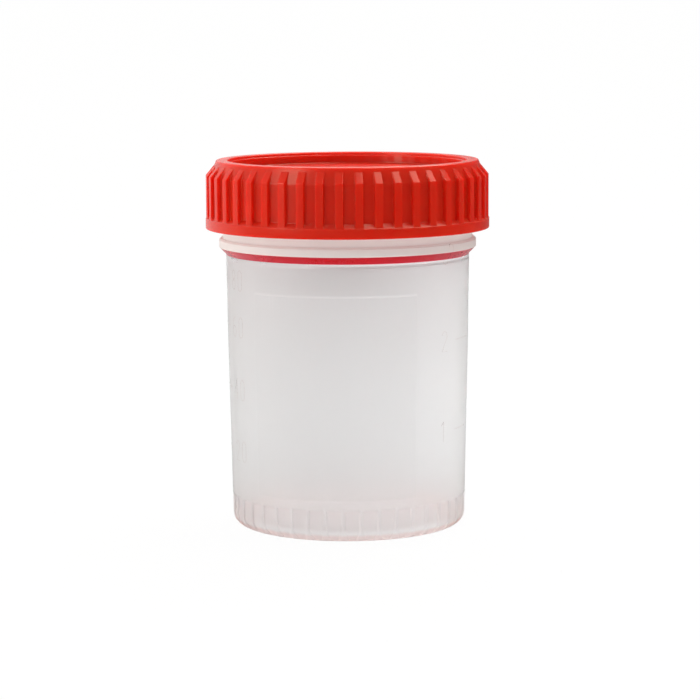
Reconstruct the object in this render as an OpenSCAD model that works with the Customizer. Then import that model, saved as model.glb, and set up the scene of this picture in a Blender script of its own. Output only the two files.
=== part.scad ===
// Screw-capped specimen container: a clear moulded cup, a ribbed screw cap and
// the flat sealing ring that the cap presses on the cup's rim.
// All sizes in millimetres. The container stands on z = 0 and its axis is Z.

/* [Cup body] */
// Outer diameter of the body just under the collar
body_d = 49.1; // [40:0.1:80]
// Height at which the body ends and the collar begins
body_h = 55.2; // [40:0.1:90]
// Height at which the near-straight upper wall meets the tapered lower wall
knee_h = 38.2; // [20:0.1:39]
// How far the upper wall draws in from the collar down to the knee
upper_draw = 0.22; // [0.05:0.01:0.4]
// How far the lower wall draws in from the knee down to the foot
lower_draw = 0.73; // [0.3:0.01:1.4]
// Wall thickness of the cup
wall = 1.2; // [0.8:0.05:1.6]
// Thickness of the cup's floor
floor_t = 1.2; // [0.8:0.05:2.5]
// Radius inside the cup between its wall and its floor
inner_corner_r = 1.6; // [0.8:0.1:3]

/* [Foot] */
// Height of the hollow under the floor
foot_hollow_h = 1.8; // [0.8:0.1:3]
// Radius of the rounded outer edge of the foot
foot_corner_r = 2.5; // [1.5:0.1:3]
// Width of the flat ring on which the cup stands
foot_ring_w = 1.0; // [0.6:0.1:2]

/* [Foot grip] */
// Number of grip cells around the foot
cell_count = 41; // [24:1:48]
// Height of the upper edge of the grip cells
cell_top_h = 6.4; // [4.5:0.1:9]
// Depth of the grip cells
cell_depth = 0.3; // [0.15:0.05:0.45]
// Width of the rib that is left between two cells
cell_rib_w = 0.6; // [0.4:0.05:1]
// Width of the same rib at its toe, on the rounded edge
cell_toe_w = 1.9; // [1.2:0.05:2.2]
// Angle of one foot rib from the front
cell_phase = -2.7; // [-6:0.1:6]

/* [Collar and neck] */
// How far the neck stands out from the body
neck_step = 0.6; // [0.3:0.05:1.2]
// How far the collar stands out from the neck
collar_lip = 0.8; // [0.7:0.05:1.2]
// Height of the collar's upright band
collar_band_h = 1.45; // [0.3:0.05:2]
// Size of the bevel on top of the collar
collar_bevel = 0.35; // [0.2:0.05:0.75]
// Height of the neck above the collar
neck_h = 11.2; // [9:0.05:18]
// Size of the bevel around the neck's rim
rim_bevel = 0.25; // [0.1:0.05:0.3]

/* [Cap] */
// Upright gap between the collar and the cap's lower edge
skirt_gap = 1.9; // [1:0.1:4]
// Radial room between the neck and the cap's bore, taken up by the threads
thread_gap = 1.35; // [1:0.05:2]
// Thickness of the skirt behind the grooves
skirt_wall = 1.15; // [0.8:0.05:2]
// Thickness of the cap's recessed top panel
panel_t = 1.2; // [0.8:0.05:2.5]
// Depth of the recess in the cap's top
recess_depth = 2.35; // [1.5:0.05:3.5]
// Width of the small ledge around the recess
ledge_w = 0.4; // [0.2:0.05:0.8]
// Depth of that ledge below the cap's top
ledge_depth = 0.6; // [0.3:0.05:1.2]
// Room around another container's foot that stands in the recess
stack_clearance = 0.1; // [0.05:0.01:0.3]
// How far the cap's cone draws in from the skirt to the top land
shoulder_in = 1.25; // [0.6:0.05:1.8]
// Height of the cap's cone
shoulder_h = 3.2; // [2:0.1:4.5]

/* [Cap grip] */
// Number of grip ribs around the cap
rib_count = 46; // [24:1:56]
// Width of one grip rib
rib_w = 1.55; // [1:0.05:2]
// How far the ribs stand out from the grooves
rib_depth = 0.85; // [0.4:0.05:1.2]
// Height of the plain flange under the ribs
flange_h = 2.1; // [1.5:0.1:4]
// How far the flange stands out beyond the ribs
flange_lip = 0.12; // [0.04:0.02:0.3]
// How far below the top land the ribs' sloped heads begin
rib_head_drop = 0.9; // [0.4:0.1:1.5]
// Height of the ribs' sloped heads
rib_head_h = 2.1; // [1:0.1:3]
// Angle of one rib from the front
rib_phase = -3.2; // [-6:0.1:6]

/* [Plug and seal] */
// How far the cap's plug reaches into the neck below the panel
plug_h = 3.2; // [2:0.1:6]
// Thickness of the plug's wall
plug_t = 1.0; // [0.7:0.05:1.5]
// Running room between the plug and the neck's bore
plug_clearance = 0.08; // [0.04:0.01:0.1]
// Thickness of the sealing ring
seal_t = 0.8; // [0.5:0.05:2]
// Room between the sealing ring and the cap's panel above it
seal_float = 0.05; // [0.02:0.01:0.2]
// Room between the sealing ring and the plug
seal_inner_gap = 0.1; // [0.05:0.01:0.3]
// Room between the sealing ring and the cap's skirt
seal_outer_gap = 0.3; // [0.1:0.05:0.6]

/* [Hidden] */
$fn = 180;
// Overlap that keeps cutters and added pieces from ending on a shared face
eps = 0.05;

// Radii of the cup, worked out from the body upwards and downwards
body_r = body_d / 2;
knee_r = body_r - upper_draw;
foot_r = knee_r - lower_draw;
neck_r = body_r + neck_step;
neck_bore_r = neck_r - wall;
collar_r = neck_r + collar_lip;

// Heights of the cup
floor_z = foot_hollow_h + floor_t;
collar_low_z = body_h + (collar_r - body_r);
collar_bevel_z = collar_low_z + collar_band_h;
collar_top_z = collar_bevel_z + collar_bevel;
rim_z = collar_top_z + neck_h;

// Heights of the cap and the ring on top of the rim
panel_low_z = rim_z + seal_t + seal_float;
recess_z = panel_low_z + panel_t;
cap_top_z = recess_z + recess_depth;
ledge_z = cap_top_z - ledge_depth;
cap_low_z = collar_top_z + skirt_gap;
flange_top_z = cap_low_z + flange_h;
shoulder_z = cap_top_z - shoulder_h;
rib_head_top_z = cap_top_z - rib_head_drop;
rib_head_z = rib_head_top_z - rib_head_h;

// Radii of the cap
cap_bore_r = neck_r + thread_gap;
groove_r = cap_bore_r + skirt_wall;
cap_r = groove_r + rib_depth;
flange_r = cap_r + flange_lip;
land_r = groove_r - shoulder_in;
ledge_r = foot_r + stack_clearance;
recess_r = ledge_r + ledge_w;
plug_r = neck_bore_r - plug_clearance;
// Flat rib faces keep their corners on the round over the ribs
rib_face_x = sqrt(cap_r * cap_r - rib_w * rib_w / 4);
// The ribs root halfway into the skirt's wall, clear of the bore
rib_root_r = cap_bore_r + skirt_wall / 2;
// Where the sloped head of a rib runs into the cap's cone
head_end_r = land_r + shoulder_in * rib_head_drop / shoulder_h;

// Small edge sizes of the moulding
edge = 0.25;
lead_in = 0.5;
plug_lead_in = 0.4;

// Grip cells begin and reach their full width at these shares of the rounded edge's height
cell_toe_z = foot_corner_r * 0.12;
cell_wide_z = foot_corner_r * 0.8;
// Room by which a cutter reaches past what it cuts
past = 2;

// Points of an arc about (cx, cz), from angle a0 to a1
function arc(cx, cz, r, a0, a1, n) =
    [for (i = [0:n]) let (a = a0 + (a1 - a0) * i / n) [cx + r * cos(a), cz + r * sin(a)]];

// The body's outer radius at height z above the rounded edge
function body_r_at(z) =
    z < knee_h ? foot_r + lower_draw * (z - foot_corner_r) / (knee_h - foot_corner_r)
               : knee_r + upper_draw * (z - knee_h) / (body_h - knee_h);

// Outline of the cup's outside, drawn in by inset, from the foot ring to the knee
function foot_outline(inset) =
    concat(arc(foot_r - foot_corner_r, foot_corner_r, foot_corner_r - inset, -90, 0, 8),
           [[knee_r - inset, knee_h]]);

// Half section of the cup: outside upwards, rim, inside downwards, hollow foot
module cup_section() {
    inner_r = body_r_at(floor_z + inner_corner_r) - wall;
    polygon(concat(
        foot_outline(0),
        [[body_r, body_h],
         [collar_r, collar_low_z],
         [collar_r, collar_bevel_z],
         [collar_r - collar_bevel, collar_top_z],
         [neck_r, collar_top_z],
         [neck_r, rim_z - rim_bevel],
         [neck_r - rim_bevel, rim_z],
         [neck_bore_r + rim_bevel, rim_z],
         [neck_bore_r, rim_z - rim_bevel],
         [neck_bore_r, collar_low_z],
         [body_r - wall, body_h - neck_step],
         [knee_r - wall, knee_h]],
        arc(inner_r - inner_corner_r, floor_z + inner_corner_r, inner_corner_r, 0, -90, 6),
        [[0, floor_z],
         [0, foot_hollow_h],
         [foot_r - foot_corner_r - foot_ring_w - foot_hollow_h / 8, foot_hollow_h],
         [foot_r - foot_corner_r - foot_ring_w, 0]]));
}

// The skin that the grip cells take off the foot, as a ring
module cell_skin() {
    rotate_extrude()
        difference() {
            translate([foot_r - foot_corner_r, 0])
                square([foot_corner_r + lower_draw + past, cell_top_h]);
            polygon(concat([[0, -past]],
                           [[foot_r - foot_corner_r, -past]],
                           foot_outline(cell_depth),
                           [[0, knee_h]]));
        }
}

// Outline of one grip cell, seen from outside: wide above and narrower at its toe
module cell_window() {
    pitch = 2 * PI * foot_r / cell_count;
    half_top = (pitch - cell_rib_w) / 2;
    half_toe = (pitch - cell_toe_w) / 2;
    polygon([[-half_toe, cell_toe_z], [half_toe, cell_toe_z],
             [half_top, cell_wide_z], [half_top, cell_top_h],
             [-half_top, cell_top_h], [-half_top, cell_wide_z]]);
}

module cup() {
    color([0.86, 0.86, 0.84, 0.5])
        difference() {
            rotate_extrude() cup_section();
            intersection() {
                cell_skin();
                for (i = [0:cell_count - 1])
                    rotate([0, 0, cell_phase + (i + 0.5) * 360 / cell_count])
                        translate([0, past + foot_corner_r - foot_r, 0])
                            rotate([90, 0, 0])
                                linear_extrude(foot_corner_r + 2 * past)
                                    cell_window();
            }
        }
}

// Half section of the cap without its ribs
module cap_section() {
    polygon([
        [0, recess_z],
        [ledge_r, recess_z],
        [ledge_r, ledge_z],
        [recess_r, ledge_z],
        [recess_r, cap_top_z],
        [land_r - edge, cap_top_z],
        [land_r, cap_top_z - edge],
        [groove_r, shoulder_z],
        [groove_r, flange_top_z + rib_depth],
        [cap_r, flange_top_z],
        [flange_r, flange_top_z - flange_lip],
        [flange_r, cap_low_z + edge],
        [flange_r - edge, cap_low_z],
        [cap_bore_r + lead_in, cap_low_z],
        [cap_bore_r, cap_low_z + lead_in],
        [cap_bore_r, panel_low_z],
        [plug_r, panel_low_z],
        [plug_r, panel_low_z - plug_h + plug_lead_in],
        [plug_r - plug_lead_in, panel_low_z - plug_h],
        [plug_r - plug_t, panel_low_z - plug_h],
        [plug_r - plug_t, panel_low_z],
        [0, panel_low_z]]);
}

// One grip rib: an upright face with a sloped head that dies into the cone
module grip_rib() {
    rotate([90, 0, 0])
        translate([0, 0, -rib_w / 2])
            linear_extrude(rib_w)
                polygon([[rib_root_r, flange_top_z - eps],
                         [rib_face_x, flange_top_z - eps],
                         [rib_face_x, rib_head_z],
                         [head_end_r, rib_head_top_z],
                         [head_end_r - skirt_wall / 2, rib_head_top_z],
                         [rib_root_r, shoulder_z]]);
}

module screw_cap() {
    color([0.82, 0.16, 0.11])
        union() {
            rotate_extrude() cap_section();
            for (i = [0:rib_count - 1])
                rotate([0, 0, -90 + rib_phase + i * 360 / rib_count])
                    grip_rib();
        }
}

module seal_ring() {
    inner_r = plug_r + seal_inner_gap;
    outer_r = cap_bore_r - seal_outer_gap;
    color([0.93, 0.93, 0.9])
        translate([0, 0, rim_z])
            rotate_extrude()
                translate([inner_r, 0])
                    square([outer_r - inner_r, seal_t]);
}

cup();
screw_cap();
seal_ring();
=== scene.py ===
"""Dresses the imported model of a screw-capped specimen container.

The cup, cap and sealing ring are modelled again as finely moulded shells in the places of
their plain solids, with the threads, the moulded scales and the writing panel added.
"""

import logging
import math
from collections.abc import Callable, Sequence
from dataclasses import astuple, dataclass, field
from enum import Enum, IntEnum

import bmesh
import bpy
import numpy as np
from mathutils import Euler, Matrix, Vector


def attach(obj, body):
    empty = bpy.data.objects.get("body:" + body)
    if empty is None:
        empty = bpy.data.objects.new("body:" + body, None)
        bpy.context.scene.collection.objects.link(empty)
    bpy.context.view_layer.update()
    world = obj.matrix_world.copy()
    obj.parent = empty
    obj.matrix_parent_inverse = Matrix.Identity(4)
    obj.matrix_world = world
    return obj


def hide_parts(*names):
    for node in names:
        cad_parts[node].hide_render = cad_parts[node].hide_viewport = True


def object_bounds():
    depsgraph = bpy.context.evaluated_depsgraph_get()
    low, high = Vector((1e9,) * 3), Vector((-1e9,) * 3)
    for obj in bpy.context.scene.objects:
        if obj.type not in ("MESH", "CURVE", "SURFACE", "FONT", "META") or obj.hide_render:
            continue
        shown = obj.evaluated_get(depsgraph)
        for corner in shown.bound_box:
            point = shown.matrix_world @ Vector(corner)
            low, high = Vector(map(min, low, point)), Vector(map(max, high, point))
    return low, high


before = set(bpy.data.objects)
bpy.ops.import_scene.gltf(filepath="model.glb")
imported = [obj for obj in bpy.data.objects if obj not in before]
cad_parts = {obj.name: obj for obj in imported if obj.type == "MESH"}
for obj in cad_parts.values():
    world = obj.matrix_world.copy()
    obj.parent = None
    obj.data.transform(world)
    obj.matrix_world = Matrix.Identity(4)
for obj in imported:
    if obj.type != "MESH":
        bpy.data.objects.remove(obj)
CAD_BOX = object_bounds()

LOG = logging.getLogger("specimen_container")
MM = 0.001
FULL_TURN = 2 * math.pi
PHOTO_SIDE = 700
# Largest share of a side that the rounding of one corner takes
SIDE_SHARE = 0.49
# How far the edges of a raised line stand over the wall, in millimetres
HAIR = 0.002
# Colour sockets of Blender's Mix node, by number
MIX_FIRST, MIX_SECOND, MIX_RESULT = 6, 7, 2

Point = tuple[float, float]
Span = tuple[float, float]
Colour = tuple[float, float, float]
Piece = bpy.types.Object
Material = bpy.types.Material
Node = bpy.types.Node
Socket = bpy.types.NodeSocket


class Facing(Enum):
    """Which way a raised feature stands from the round wall that carries it."""

    OUTWARD = 1.0
    INWARD = -1.0


class Unit(Enum):
    """The unit of a moulded volume scale."""

    OUNCE = "ounce"
    MILLILITRE = "millilitre"


class Zone(IntEnum):
    """The zones of the cup's shell that have their own finish."""

    WALL = 0
    PANEL = 1
    SLOPE = 2
    COLLAR = 3
    FOOT = 4
    BASE = 5
    BORE = 6
    BROW = 7


# Shapes that several pieces share


@dataclass(frozen=True)
class Corner:
    """One corner of a half section, in millimetres, with the radius that rounds it."""

    r: float
    z: float
    fillet: float = 0.0


@dataclass(frozen=True)
class Ring:
    """One ring of a turned surface.

    Attributes:
        r: Radius in millimetres.
        z: Height in millimetres.
        out_r: Radial part of the direction in which a relief stands out there.
        out_z: Upright part of that direction.
        relief: Share of the grip cells' depth, from 0 to 1.
        panel: Share of the writing panel's rise, from 0 to 1.
        spread: How far the ribs between the cells have widened to their toes, from 0 to 1.
    """

    r: float
    z: float
    out_r: float = 1.0
    out_z: float = 0.0
    relief: float = 0.0
    panel: float = 0.0
    spread: float = 0.0


def rounded(corners: Sequence[Corner], steps: int = 5) -> list[Point]:
    """Round the corners of an open outline.

    Args:
        corners: The outline's corners in order.
        steps: Number of straight pieces in each rounding.

    Returns:
        The outline's points as (radius, height).
    """
    points: list[Point] = []
    for index, corner in enumerate(corners):
        here = Vector((corner.r, corner.z))
        if corner.fillet <= 0 or index in (0, len(corners) - 1):
            points.append((here.x, here.y))
            continue
        before, after = corners[index - 1], corners[index + 1]
        back = Vector((before.r, before.z)) - here
        ahead = Vector((after.r, after.z)) - here
        half_angle = back.angle(ahead) / 2
        reach = min(corner.fillet / math.tan(half_angle), SIDE_SHARE * min(back.length, ahead.length))
        radius = reach * math.tan(half_angle)
        start, end = here + back.normalized() * reach, here + ahead.normalized() * reach
        bisector = (back.normalized() + ahead.normalized()).normalized()
        centre = here + bisector * (radius / math.sin(half_angle))
        spoke = start - centre
        sweep = spoke.angle_signed(end - centre)
        for step in range(steps + 1):
            turn = -sweep * step / steps
            points.append((centre.x + spoke.x * math.cos(turn) - spoke.y * math.sin(turn),
                           centre.y + spoke.x * math.sin(turn) + spoke.y * math.cos(turn)))
    return points


def on_axis(angle: np.ndarray, radius: np.ndarray | float, height: np.ndarray | float) -> np.ndarray:
    """Positions from azimuths, radii and heights.

    Args:
        angle: Azimuth in radians, 0 at the front and growing towards +X.
        radius: Radius in millimetres.
        height: Height in millimetres.

    Returns:
        Positions, with one more axis of length 3.
    """
    angle, radius, height = np.broadcast_arrays(angle, radius, height)
    return np.stack([radius * np.sin(angle), -radius * np.cos(angle), height], axis=-1)


def new_piece(
    name: str, points: np.ndarray, faces: list[list[int]], materials: Sequence[Material],
    slots: Sequence[int] | None = None,
) -> Piece:
    """Make a smooth-shaded mesh object.

    Args:
        name: Name of the piece.
        points: Corner positions in millimetres, shape (n, 3).
        faces: Corner numbers of each face.
        materials: The piece's materials.
        slots: Material number of each face, or None where there is one material.

    Returns:
        The new object, linked to the scene.
    """
    mesh = bpy.data.meshes.new(name)
    mesh.from_pydata((points * MM).tolist(), [], faces)
    for material in materials:
        mesh.materials.append(material)
    if slots is not None:
        mesh.polygons.foreach_set("material_index", list(slots))
    mesh.polygons.foreach_set("use_smooth", [True] * len(mesh.polygons))
    mesh.validate()
    mesh.update()
    piece = bpy.data.objects.new(name, mesh)
    bpy.context.scene.collection.objects.link(piece)
    return piece


def fix_outside(piece: Piece) -> None:
    """Turn each closed body's faces outwards.

    Args:
        piece: The object to mend.
    """
    work = bmesh.new()
    work.from_mesh(piece.data)
    bmesh.ops.recalc_face_normals(work, faces=work.faces)
    work.to_mesh(piece.data)
    work.free()


def close_rings(
    name: str, place: np.ndarray, poles: Span | None, materials: Sequence[Material],
    slot_grid: np.ndarray | None = None,
) -> Piece:
    """Make a closed body from rings of points around the Z axis.

    Large faces are shaded flat and their roundings smooth, by face area.

    Args:
        name: Name of the piece.
        place: Positions in millimetres, shape (rings, columns, 3).
        poles: Heights at which the first and last rings close on the axis, or None where the
            last ring joins the first.
        materials: The piece's materials.
        slot_grid: Material number of each face between rings, shape (rings - 1, columns).

    Returns:
        The new object.
    """
    rings, columns, _ = place.shape
    points = place.reshape(-1, 3)
    numbers = np.arange(rings * columns).reshape(rings, columns)
    beside = np.roll(numbers, -1, axis=1)
    faces = np.stack([numbers[:-1], numbers[1:], beside[1:], beside[:-1]], axis=-1).reshape(-1, 4).tolist()
    slots = [0] * len(faces) if slot_grid is None else slot_grid.reshape(-1).tolist()
    first = list(zip(numbers[0].tolist(), beside[0].tolist()))
    last = list(zip(numbers[-1].tolist(), beside[-1].tolist()))
    if poles is None:
        faces += [[c, a, b, d] for (a, b), (c, d) in zip(first, last)]
    else:
        faces += [[len(points), a, b] for a, b in first]
        faces += [[c, len(points) + 1, d] for c, d in last]
        points = np.vstack([points, [[0, 0, poles[0]], [0, 0, poles[1]]]])
    slots += [0] * (len(faces) - len(slots))
    piece = new_piece(name, points, faces, materials, slots)
    fix_outside(piece)
    weighted = piece.modifiers.new("flat_faces", "WEIGHTED_NORMAL")
    weighted.mode = "FACE_AREA"
    weighted.keep_sharp = False
    weighted.weight = 60
    return piece


@dataclass(frozen=True)
class Stroke:
    """A raised line on a round wall.

    Attributes:
        path: Points as (azimuth in radians, height in millimetres).
        closed: True where the line ends where it starts.
    """

    path: list[Point]
    closed: bool = False


def ridge(
    name: str, strokes: Sequence[Stroke], section: Sequence[Point], wall_radius: Callable[[float], float],
    facing: Facing, material: Material, run_out: float = 0.0, blunt: float = 0.12,
) -> Piece:
    """Sweep a small section along lines on a round wall.

    Args:
        name: Name of the piece.
        strokes: The lines to follow.
        section: Closed section as (offset across the line, rise from the wall), millimetres.
        wall_radius: The wall's radius at a height.
        facing: Which way the ridge stands.
        material: The ridge's material.
        run_out: Length over which an open line's ends sink into the wall, in millimetres.
        blunt: Share of that length that is cut off at the very ends.

    Returns:
        The new object, with one closed body for each line.
    """
    points: list[np.ndarray] = []
    faces: list[list[int]] = []
    across, rise = np.array(section).T
    sides = len(section)
    for stroke in strokes:
        azimuth, height = np.array(stroke.path).T
        centre = on_axis(azimuth, np.array([wall_radius(z) for z in height]), height)
        if stroke.closed:
            ahead = np.roll(centre, -1, axis=0) - np.roll(centre, 1, axis=0)
        else:
            ahead = np.gradient(centre, axis=0)
        ahead /= np.linalg.norm(ahead, axis=1, keepdims=True)
        out = on_axis(azimuth, 1.0, 0.0) * facing.value
        side = np.cross(ahead, out)
        side /= np.linalg.norm(side, axis=1, keepdims=True)
        share = np.ones(len(centre))
        if run_out > 0:
            steps = np.linalg.norm(np.diff(centre, axis=0), axis=1)
            along = np.concatenate([[0], np.cumsum(steps)])
            share = np.clip(np.minimum(along, along[-1] - along) / run_out, blunt, 1)
            share = share * share * (3 - 2 * share)
        lift = np.where(rise > 0, rise, 0) * share[:, None] + np.minimum(rise, 0)
        ring = centre[:, None] + side[:, None] * across[:, None] + out[:, None] * lift[..., None]
        base = sum(len(block) for block in points)
        points.append(ring.reshape(-1, 3))
        count = len(centre)
        for step in range(count if stroke.closed else count - 1):
            here, there = base + step * sides, base + (step + 1) % count * sides
            for k in range(sides):
                n = (k + 1) % sides
                faces.append([here + k, here + n, there + n, there + k])
        if not stroke.closed:
            faces.append([base + k for k in reversed(range(sides))])
            faces.append([base + (count - 1) * sides + k for k in range(sides)])
    piece = new_piece(name, np.vstack(points), faces, [material])
    fix_outside(piece)
    return piece


# Finishes


class Graph:
    """The node tree of a material or world, with short calls to add and join nodes."""

    def __init__(self, owner: Material | bpy.types.World) -> None:
        """Empty the owner's node tree.

        Args:
            owner: The material or world to dress.
        """
        self.owner = owner
        owner.use_nodes = True
        self.tree = owner.node_tree
        self.tree.nodes.clear()

    @classmethod
    def of_material(cls, name: str) -> "Graph":
        """Start a new material of that name."""
        return cls(bpy.data.materials.new(name))

    def add(self, kind: str, inputs: dict[str | int, object] | None = None, **values: object) -> Node:
        """Add a node.

        Args:
            kind: The node's Blender type, without "ShaderNode".
            inputs: What goes into its sockets: numbers, tuples or the outputs of other nodes.
            **values: Properties of the node.

        Returns:
            The node.
        """
        node = self.tree.nodes.new("ShaderNode" + kind)
        for key, value in values.items():
            setattr(node, key, value)
        for key, value in (inputs or {}).items():
            if isinstance(value, Socket):
                self.tree.links.new(value, node.inputs[key])
            else:
                node.inputs[key].default_value = value
        return node

    def done(self, shader: Node) -> Material | bpy.types.World:
        """Join a shader to the output.

        Args:
            shader: The tree's last node.

        Returns:
            The tree's owner.
        """
        is_world = isinstance(self.owner, bpy.types.World)
        self.add("OutputWorld" if is_world else "OutputMaterial", {"Surface": shader.outputs[0]})
        return self.owner

    def spot(self, stretch: tuple[float, float, float] = (1, 1, 1)) -> Socket:
        """Object coordinates in millimetres, times a factor for each axis."""
        where, factors = self.add("TexCoord").outputs["Object"], tuple(s / MM for s in stretch)
        return self.add("VectorMath", {0: where, 1: factors}, operation="MULTIPLY").outputs[0]

    def along(self, axis: str, place: Socket | None = None) -> Socket:
        """One coordinate of a place, or of the object's own coordinates in millimetres."""
        return self.add("SeparateXYZ", {0: self.spot() if place is None else place}).outputs[axis]

    def noise(self, place: Socket, scale: float, detail: float = 3.0) -> Socket:
        """Smooth noise of about 0 to 1, from its bumps per millimetre and its finer octaves."""
        numbers = {"Vector": place, "Scale": scale, "Detail": detail, "Roughness": 0.5}
        return self.add("TexNoise", numbers).outputs["Fac"]

    def ranged(self, value: Socket, low: float, high: float, start: float = 0.3, end: float = 0.7) -> Socket:
        """Map a value from the range start to end to the range low to high, and clamp it."""
        numbers = {"Value": value, "From Min": start, "From Max": end, "To Min": low, "To Max": high}
        return self.add("MapRange", numbers).outputs["Result"]

    def blended(self, share: Socket, first: Colour, second: Colour) -> Socket:
        """Mix two linear colours, where a share of 0 gives the first and 1 the second."""
        colours = {"Factor": share, MIX_FIRST: (*first, 1), MIX_SECOND: (*second, 1)}
        return self.add("Mix", colours, data_type="RGBA").outputs[MIX_RESULT]

    def maths(self, operation: str, first: Socket, *others: Socket | float) -> Socket:
        """Combine values one after the other.

        Args:
            operation: Blender's name of the operation.
            first: The first value.
            *others: The other values, as sockets or numbers.

        Returns:
            The result.
        """
        for other in others:
            first = self.add("Math", {0: first, 1: other}, operation=operation).outputs[0]
        return first

    def bumps(self, *layers: tuple[Socket, float]) -> Socket:
        """Stack bump layers.

        Args:
            *layers: Pairs of a height from 0 to 1 and its size in millimetres.

        Returns:
            The bumped normal.
        """
        below: dict[str | int, object] = {}
        for height, size in layers:
            numbers = {"Strength": 1.0, "Distance": size * MM, "Height": height}
            below = {"Normal": self.add("Bump", numbers | below).outputs["Normal"]}
        return below["Normal"]


@dataclass(frozen=True)
class ClearMoulding:
    """Natural polypropylene that lets light through and blurs what is behind it.

    Attributes:
        name: The material's name.
        tint: What it lets through, as a linear colour.
        clearness: Share of the light that passes, from 0 to 1.
        gloss: Roughness where the tool was polished best and where it was polished least.
        ripple: Depth of the slow waves in the wall, in millimetres.
        grain: Depth of the fine grain, in millimetres.
        bending: Index at which it bends the light, where 1 leaves it straight.
        shine: Strength of the mirror-like share, where 0.5 is a plain plastic's.
        painted_foot_tint: A painted tint at the foot, where it isn't the same: pink, it paints the
            red light of the cap; darker, on the collar, it paints shade.
        fade: Heights between which the painted foot tint goes over into the other, in millimetres.
        mirror: Share of the mirror-like light that comes back where it meets the face squarely.
        glow: Strength of a painted glow in the foot's tint, as a share of white: the plastic gives
        off this light itself.
    """

    name: str
    tint: Colour
    clearness: float
    gloss: Span = (0.30, 0.36)
    ripple: float = 0.0
    grain: float = 0.0
    bending: float = 1.1
    shine: float = 0.5
    painted_foot_tint: Colour | None = None
    fade: Span = (3.0, 13.0)
    mirror: float = 1.0
    glow: float = 0.0

    def material(self) -> Material:
        """Build the material.

        Returns:
            The material.
        """
        graph = Graph.of_material(self.name)
        slow = graph.noise(graph.spot((1, 1, 0.35)), 0.11, 2.0)
        fine = graph.noise(graph.spot(), 6.0, 2.0)
        # Painted light: by height the foot's tint paints the cap's red light (pink) and shade (darker), and
        # the painted glow shines in that tint
        foot = self.painted_foot_tint or self.tint
        return graph.done(graph.add("BsdfPrincipled", {
            "Base Color": graph.blended(graph.ranged(graph.along("Z"), 0, 1, *self.fade), foot, self.tint),
            "Roughness": graph.ranged(slow, *self.gloss),
            "Transmission Weight": self.clearness,
            "IOR": self.bending,
            "Specular IOR Level": self.shine,
            "Specular Tint": (self.mirror, self.mirror, self.mirror, 1),
            "Emission Color": (*foot, 1),
            "Emission Strength": self.glow,
            "Normal": graph.bumps((slow, self.ripple), (fine, self.grain)),
        }))


@dataclass(frozen=True)
class SolidMoulding:
    """Opaque moulded plastic with a soft gloss.

    Attributes:
        name: The material's name.
        colour: Its linear colour.
        darker: The colour where the pigment lies denser.
        gloss: Lowest and highest roughness.
        shine: Strength of the mirror-like share, where 0.5 is a plain plastic's.
        glow: How much light wanders under the surface, from 0 to 1.
        reach: How far red light wanders, in millimetres.
        grain: Depth of the fine grain, in millimetres.
        painted_glow: Strength of a painted glow in its own colour, which stands in for light coming
        through from the far side.
        sheen: Colour of its mirror-like light.
    """

    name: str
    colour: Colour
    darker: Colour
    gloss: Span
    shine: float = 0.0
    glow: float = 0.0
    reach: float = 1.0
    grain: float = 0.006
    painted_glow: float = 0.0
    sheen: Colour = (1.0, 0.92, 0.75)

    def material(self) -> Material:
        """Build the material.

        Returns:
            The material.
        """
        graph = Graph.of_material(self.name)
        cloud = graph.noise(graph.spot(), 0.25, 4.0)
        fine = graph.noise(graph.spot(), 5.0)
        return graph.done(graph.add("BsdfPrincipled", {
            "Base Color": graph.blended(graph.ranged(cloud, 0, 1), self.darker, self.colour),
            "Roughness": graph.ranged(fine, *self.gloss),
            "Subsurface Weight": self.glow,
            "Subsurface Radius": (1.0, 0.1, 0.07),
            "Subsurface Scale": self.reach * MM,
            "Specular IOR Level": self.shine,
            "Specular Tint": (*self.sheen, 1),
            "IOR": 1.5,
            # Painted light: the emission is a painted glow in the moulding's own colour
            "Emission Color": (*self.colour, 1),
            "Emission Strength": self.painted_glow,
            "Normal": graph.bumps((cloud, self.grain), (fine, self.grain / 2)),
        }))


@dataclass(frozen=True)
class SoftFoam:
    """Pale closed-cell foam, for the sealing ring."""

    name: str = "sealing_foam"
    colour: Colour = (0.80, 0.79, 0.74)
    pit: Colour = (0.62, 0.61, 0.56)

    def material(self) -> Material:
        """Build the material.

        Returns:
            The material.
        """
        graph = Graph.of_material(self.name)
        depth = graph.add("TexVoronoi", {"Vector": graph.spot(), "Scale": 4.0}).outputs["Distance"]
        return graph.done(graph.add("BsdfPrincipled", {
            "Base Color": graph.blended(graph.ranged(depth, 0, 1, 0.1, 0.6), self.colour, self.pit),
            "Roughness": graph.ranged(depth, 0.7, 0.9),
            "Normal": graph.bumps((depth, 0.05)),
        }))


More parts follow.
